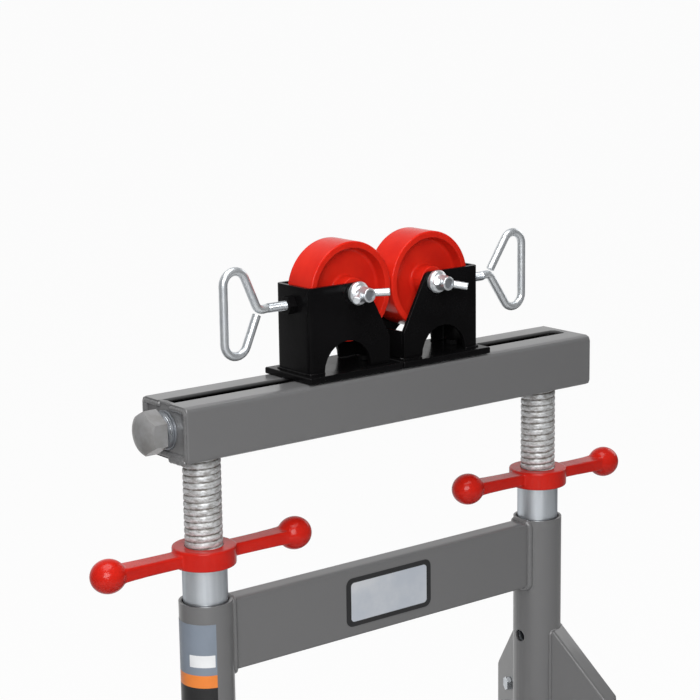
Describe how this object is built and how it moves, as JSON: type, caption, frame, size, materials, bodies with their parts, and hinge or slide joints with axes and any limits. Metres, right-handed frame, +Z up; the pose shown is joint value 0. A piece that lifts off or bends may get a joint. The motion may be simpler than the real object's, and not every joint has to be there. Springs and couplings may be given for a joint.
{
  "type": "pipe jack stand",
  "caption": "Four-legged steel stand with two screw jacks under a slotted beam, and two fork-held steel rollers that a lead screw moves apart to cradle a pipe.",
  "frame": {"origin": "on the floor, under the middle of the beam", "axes": "+Z up, +X along the beam away from the lead screw's drive head, -Y towards the wing nuts at the front"},
  "size_m": [0.7846, 0.477, 0.9323],
  "materials": {
    "grey_paint": "satin grey paint",
    "black_paint": "semi-gloss black powder coat",
    "red_paint": "glossy red powder coat",
    "zinc_plate": "bright zinc plate",
    "dark_steel": "dark oiled steel",
    "bronze": "plain bearing bronze"
  },
  "bodies": {
    "lower_frame": {"post_left": "grey_paint", "post_right": "grey_paint", "crossbar": "grey_paint", "leg_bracket_front_left": "grey_paint", "leg_bracket_back_left": "grey_paint", "leg_bracket_front_right": "grey_paint", "leg_bracket_back_right": "grey_paint", "leg_front_left": "grey_paint", "leg_back_left": "grey_paint", "leg_front_right": "grey_paint", "leg_back_right": "grey_paint", "leg_bolt_front_left_upper": "zinc_plate", "leg_bolt_front_left_lower": "zinc_plate", "leg_bolt_back_left_upper": "zinc_plate", "leg_bolt_back_left_lower": "zinc_plate", "leg_bolt_front_right_upper": "zinc_plate", "leg_bolt_front_right_lower": "zinc_plate", "leg_bolt_back_right_upper": "zinc_plate", "leg_bolt_back_right_lower": "zinc_plate"},
    "inner_tubes": {"inner_tube_left": "zinc_plate", "inner_tube_right": "zinc_plate"},
    "height_pin_left": {"height_pin_left": "zinc_plate"},
    "height_pin_right": {"height_pin_right": "zinc_plate"},
    "spin_handle_left": {"spin_handle_left": "red_paint"},
    "spin_handle_right": {"spin_handle_right": "red_paint"},
    "lift": {"beam": "grey_paint", "beam_end_left": "grey_paint", "beam_end_right": "grey_paint", "jack_tube_left": "zinc_plate", "jack_tube_right": "zinc_plate"},
    "lead_screw": {"lead_screw": "grey_paint", "thrust_washer_inner": "zinc_plate", "thrust_washer_outer": "zinc_plate", "screw_collar": "zinc_plate"},
    "carriage_left": {"carriage_base_left": "black_paint", "roller_fork_left": "black_paint", "brake_nut_left": "black_paint", "slide_nut_left": "dark_steel", "carriage_bolt_left_inner": "dark_steel", "carriage_bolt_left_outer": "dark_steel", "axle_left": "zinc_plate"},
    "wheel_left": {"wheel_left": "red_paint", "wheel_bush_left": "bronze"},
    "wing_washer_left": {"wing_washer_left": "zinc_plate"},
    "wing_nut_left": {"wing_nut_left": "zinc_plate"},
    "brake_pad_left": {"brake_pad_left": "dark_steel"},
    "brake_screw_left": {"brake_screw_left": "zinc_plate"},
    "carriage_right": {"carriage_base_right": "black_paint", "roller_fork_right": "black_paint", "brake_nut_right": "black_paint", "slide_nut_right": "dark_steel", "carriage_bolt_right_inner": "dark_steel", "carriage_bolt_right_outer": "dark_steel", "axle_right": "zinc_plate"},
    "wheel_right": {"wheel_right": "red_paint", "wheel_bush_right": "bronze"},
    "wing_washer_right": {"wing_washer_right": "zinc_plate"},
    "wing_nut_right": {"wing_nut_right": "zinc_plate"},
    "brake_pad_right": {"brake_pad_right": "dark_steel"},
    "brake_screw_right": {"brake_screw_right": "zinc_plate"}
  },
  "joints": [
    {"name": "inner_tubes_slide", "type": "slide", "parent": "lower_frame", "child": "inner_tubes", "axis": [0, 0, 1], "range_m": [0, 0.1]},
    {"name": "height_pin_left_pull", "type": "slide", "parent": "lower_frame", "child": "height_pin_left", "axis": [-1, 0, 0], "range_m": [0, 0.085]},
    {"name": "height_pin_right_pull", "type": "slide", "parent": "lower_frame", "child": "height_pin_right", "axis": [1, 0, 0], "range_m": [0, 0.085]},
    {"name": "spin_handle_left_turn", "type": "hinge", "parent": "inner_tubes", "child": "spin_handle_left", "pos_m": [-0.2515, 0, 0.6023], "axis": [0, 0, 1], "range_deg": [-7565, 4325]},
    {"name": "spin_handle_right_turn", "type": "hinge", "parent": "inner_tubes", "child": "spin_handle_right", "pos_m": [0.2515, 0, 0.6023], "axis": [0, 0, 1], "range_deg": [-7565, 4325]},
    {"name": "lift_slide", "type": "slide", "parent": "inner_tubes", "child": "lift", "axis": [0, 0, 1], "range_m": [-0.09, 0.1575]},
    {"name": "lead_screw_turn", "type": "hinge", "parent": "lift", "child": "lead_screw", "pos_m": [0, 0, 0.75005], "axis": [1, 0, 0], "range_deg": [-5, 13955]},
    {"name": "carriage_left_slide", "type": "slide", "parent": "lift", "child": "carriage_left", "axis": [-1, 0, 0], "range_m": [0, 0.155]},
    {"name": "carriage_right_slide", "type": "slide", "parent": "lift", "child": "carriage_right", "axis": [1, 0, 0], "range_m": [0, 0.1551]},
    {"name": "wheel_left_spin", "type": "hinge", "parent": "carriage_left", "child": "wheel_left", "pos_m": [-0.0579, 0, 0.8752], "axis": [0, 1, 0], "continuous": true},
    {"name": "wheel_right_spin", "type": "hinge", "parent": "carriage_right", "child": "wheel_right", "pos_m": [0.0579, 0, 0.8752], "axis": [0, 1, 0], "continuous": true},
    {"name": "wing_washer_left_slide", "type": "slide", "parent": "carriage_left", "child": "wing_washer_left", "axis": [0, -1, 0], "range_m": [0, 0.00601]},
    {"name": "wing_nut_left_turn", "type": "hinge", "parent": "wing_washer_left", "child": "wing_nut_left", "pos_m": [-0.0579, -0.0342, 0.8752], "axis": [0, -1, 0], "range_deg": [0, 1440]},
    {"name": "wing_washer_right_slide", "type": "slide", "parent": "carriage_right", "child": "wing_washer_right", "axis": [0, -1, 0], "range_m": [0, 0.00601]},
    {"name": "wing_nut_right_turn", "type": "hinge", "parent": "wing_washer_right", "child": "wing_nut_right", "pos_m": [0.0579, -0.0342, 0.8752], "axis": [0, -1, 0], "range_deg": [0, 1440]},
    {"name": "brake_pad_left_slide", "type": "slide", "parent": "carriage_left", "child": "brake_pad_left", "axis": [1, 0, 0], "range_m": [-0.00081, 0.0007]},
    {"name": "brake_screw_left_turn", "type": "hinge", "parent": "brake_pad_left", "child": "brake_screw_left", "pos_m": [-0.12, 0, 0.8658], "axis": [1, 0, 0], "range_deg": [-180, 155]},
    {"name": "brake_pad_right_slide", "type": "slide", "parent": "carriage_right", "child": "brake_pad_right", "axis": [-1, 0, 0], "range_m": [-0.00081, 0.0007]},
    {"name": "brake_screw_right_turn", "type": "hinge", "parent": "brake_pad_right", "child": "brake_screw_right", "pos_m": [0.12, 0, 0.8658], "axis": [-1, 0, 0], "range_deg": [-180, 155]}
  ],
  "couplings": [
    {"joint": "spin_handle_left_turn", "follows": "lift_slide", "rad_per_m": -837.76},
    {"joint": "spin_handle_right_turn", "follows": "lift_slide", "rad_per_m": -837.76},
    {"joint": "lead_screw_turn", "follows": "carriage_left_slide", "rad_per_m": 1570.8},
    {"joint": "carriage_right_slide", "follows": "carriage_left_slide", "ratio": 1},
    {"joint": "wing_washer_left_slide", "follows": "wing_nut_left_turn", "m_per_rad": 0.00023873},
    {"joint": "wing_washer_right_slide", "follows": "wing_nut_right_turn", "m_per_rad": 0.00023873},
    {"joint": "brake_pad_left_slide", "follows": "brake_screw_left_turn", "m_per_rad": 0.00025465},
    {"joint": "brake_pad_right_slide", "follows": "brake_screw_right_turn", "m_per_rad": 0.00025465}
  ]
}
